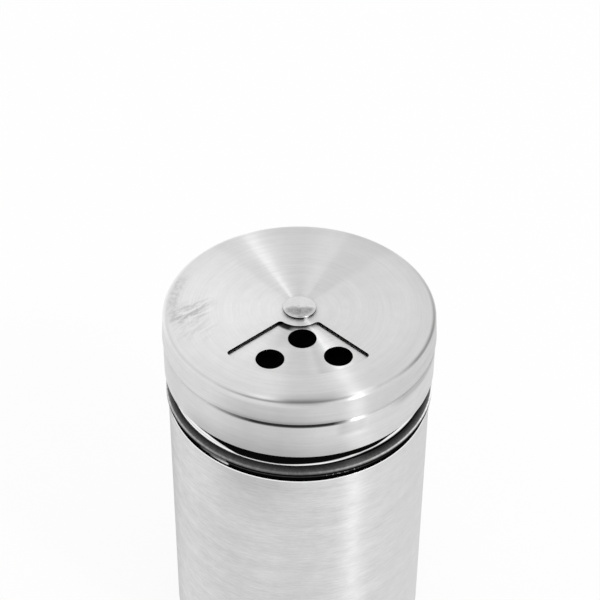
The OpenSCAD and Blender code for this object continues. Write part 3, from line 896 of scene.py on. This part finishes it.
def build_rivet():
    tail_z, top_z = BACKING_Z - TAIL_H, DIAL_Z + RIVET_H
    path = outline(
        [(0, tail_z), (TAIL_R, tail_z), (TAIL_R, BACKING_Z), (SHANK_R, BACKING_Z), (SHANK_R, DIAL_Z),
         (RIVET_HEAD_R - RIVET_BEVEL, DIAL_Z), (RIVET_HEAD_R, DIAL_Z + RIVET_BEVEL),
         (RIVET_HEAD_R, DIAL_Z + RIVET_EDGE_H)],
        [TAIL_ROUND, TAIL_ROUND, RIVET_ROUND, RIVET_ROUND, RIVET_ROUND, RIVET_EDGE_ROUND])
    path += rounded_edge(RIVET_HEAD_R, top_z, 0.0, RIVET_DOME, RIVET_H - RIVET_EDGE_H)
    path.append((np.array([0.0, top_z]), np.array([0.0, 1.0])))
    skin = Skin()
    skin.lathe(path, turns=SMALL_TURNS)
    make_mesh("lid_rivet", skin, [rivet_steel], "lid", "rivet")


def build_washer():
    skin = Skin()
    skin.lathe(outline(
        [(WASHER_SEAM_R, PLATE_Z), (WASHER_R, PLATE_Z), (WASHER_R, DIAL_IN_Z), (PIN_HOLE_R, DIAL_IN_Z),
         (PIN_HOLE_R, PLATE_Z), (WASHER_SEAM_R, PLATE_Z)], [WASHER_ROUND] * 4), turns=SMALL_TURNS)
    make_mesh("lid_washer", skin, [washer_steel], "lid", "friction_washer")


centre_hole = round_hole(2 * PIN_HOLE_R, 0, 0)
build_cap(centre_hole)
build_dial(centre_hole)
build_rivet()
build_washer()


# ---------------------------------------------------------------- kept CAD nodes

def dress(node, material):
    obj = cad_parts[node]
    obj.data.materials.clear()
    obj.data.materials.append(material)


dress("neck_seal", seal_rubber)
dress("backing_washer", washer_steel)


# ---------------------------------------------------------------- stage

FLOOR_HALF_M, FLOOR_TONE, FLOOR_GLOW = 3, 0.95, 0.85
WORLD_LIGHT, WORLD_WHITE = 0.97, 1.0
AIM = Vector((0, 0, 0.09))


def own_nodes(owner):
    """The owner's emptied node tree."""
    owner.use_nodes = True
    owner.node_tree.nodes.clear()
    return owner.node_tree


def path_light(tree):
    """1 for camera, glossy and transmitted rays, and 0 for the rest."""
    path = tree.nodes.new("ShaderNodeLightPath")
    total = path.outputs["Is Camera Ray"]
    for key in ("Is Glossy Ray", "Is Transmission Ray"):
        add = tree.nodes.new("ShaderNodeMath")
        add.operation = "ADD"
        add.use_clamp = True
        tree.links.new(total, add.inputs[0])
        tree.links.new(path.outputs[key], add.inputs[1])
        total = add.outputs[0]
    return total


def blend_out(tree, amount, first, second, output_kind):
    """Mixes two shaders by the amount, into the tree's output."""
    blend = tree.nodes.new("ShaderNodeMixShader")
    output = tree.nodes.new(output_kind)
    tree.links.new(amount, blend.inputs[0])
    tree.links.new(first.outputs[0], blend.inputs[1])
    tree.links.new(second.outputs[0], blend.inputs[2])
    tree.links.new(blend.outputs[0], output.inputs["Surface"])


def stage_object(name, points, faces, paint):
    mesh = bpy.data.meshes.new(name)
    mesh.from_pydata(points, [], faces)
    mesh.materials.append(paint)
    obj = bpy.data.objects.new(name, mesh)
    bpy.context.scene.collection.objects.link(obj)
    return obj


floor_paint = bpy.data.materials.new("floor_paint")
tree = own_nodes(floor_paint)
matt = tree.nodes.new("ShaderNodeBsdfDiffuse")
matt.inputs["Color"].default_value = (FLOOR_TONE, FLOOR_TONE, FLOOR_TONE, 1)
glow = tree.nodes.new("ShaderNodeEmission")
scale = tree.nodes.new("ShaderNodeMath")
scale.operation = "MULTIPLY"
scale.inputs[1].default_value = FLOOR_GLOW
tree.links.new(path_light(tree), scale.inputs[0])
blend_out(tree, scale.outputs[0], matt, glow, "ShaderNodeOutputMaterial")
corners = [(x * FLOOR_HALF_M, y * FLOOR_HALF_M, 0) for x, y in ((-1, -1), (1, -1), (1, 1), (-1, 1))]
floor = stage_object("floor", corners, [(0, 1, 2, 3)], floor_paint)

world = bpy.data.worlds.new("studio")
bpy.context.scene.world = world
tree = own_nodes(world)
soft = tree.nodes.new("ShaderNodeBackground")
white = tree.nodes.new("ShaderNodeBackground")
for node, strength in ((soft, WORLD_LIGHT), (white, WORLD_WHITE)):
    node.inputs["Color"].default_value = (1, 1, 1, 1)
    node.inputs["Strength"].default_value = strength
blend_out(tree, path_light(tree), soft, white, "ShaderNodeOutputWorld")


def softbox(name, way, distance, side, power):
    """Square area lamp in the direction way from the lid, facing it."""
    lamp = bpy.data.lights.new(name, "AREA")
    lamp.shape = "RECTANGLE"
    lamp.size = lamp.size_y = side
    lamp.energy = power
    obj = bpy.data.objects.new(name, lamp)
    bpy.context.scene.collection.objects.link(obj)
    way = Vector(way).normalized()
    obj.location = AIM + way * distance
    obj.rotation_euler = (-way).to_track_quat("-Z", "Y").to_euler()


def streak_way(azimuth, tilt=45.0, rise=43.2):
    """Direction of a lamp whose streak on the dial lies at the azimuth, seen from the front.

    tilt is how far the middle way between lamp and eye leans from upright, and rise the eye's height in
    degrees above the floor.
    """
    a, b, c = math.radians(azimuth), math.radians(tilt), math.radians(rise)
    half_way = Vector((math.sin(b) * math.sin(a), -math.sin(b) * math.cos(a), math.cos(b)))
    to_eye = Vector((0, -math.cos(c), math.sin(c)))
    return 2 * to_eye.dot(half_way) * half_way - to_eye


softbox("key_light", streak_way(azimuth=24.7), distance=1.0, side=0.11, power=1.2)
softbox("top_light", streak_way(azimuth=-15.5, tilt=25.0), distance=1.0, side=0.12, power=0.06)


def card(name, middle, half, low, high, distance, tone, steps=24):
    """Grey strip that bends over the lid, from one height to another, as degrees above the floor."""
    points = []
    for i in range(steps + 1):
        a = math.radians(low + (high - low) * i / steps)
        for x in (middle - half, middle + half):
            points.append(AIM + distance * Vector((x, -math.cos(a), math.sin(a))))
    faces = [(2 * i, 2 * i + 1, 2 * i + 3, 2 * i + 2) for i in range(steps)]
    paint = bpy.data.materials.new(name + "_paint")
    tree = own_nodes(paint)
    output = tree.nodes.new("ShaderNodeOutputMaterial")
    glow = tree.nodes.new("ShaderNodeEmission")
    glow.inputs["Color"].default_value = (tone, tone, tone, 1)
    tree.links.new(glow.outputs[0], output.inputs["Surface"])
    obj = stage_object(name, points, faces, paint)
    obj.visible_camera = False
    obj.visible_shadow = False


card("front_card", middle=0.045, half=0.2, low=30, high=88, distance=0.8, tone=0.58)


# ---------------------------------------------------------------- camera

SENSOR, LENS = 36, 114.506
EYE = (0.0, -0.33647, 0.39128)
PITCH, YAW, ROLL = 40.6316, 0.016, 0.4447
CLIP_M = (0.01, 20)

camera = bpy.data.objects.new("camera", bpy.data.cameras.new("camera"))
camera.data.sensor_width = SENSOR
camera.data.lens = LENS
camera.data.clip_start, camera.data.clip_end = CLIP_M
bpy.context.scene.collection.objects.link(camera)
camera.matrix_world = (Matrix.Translation(EYE) @ Matrix.Rotation(math.radians(-YAW), 4, "Z")
                       @ Matrix.Rotation(math.radians(90 - PITCH), 4, "X")
                       @ Matrix.Rotation(math.radians(ROLL), 4, "Z"))
bpy.context.scene.camera = camera
bpy.context.scene.view_settings.view_transform = "Standard"
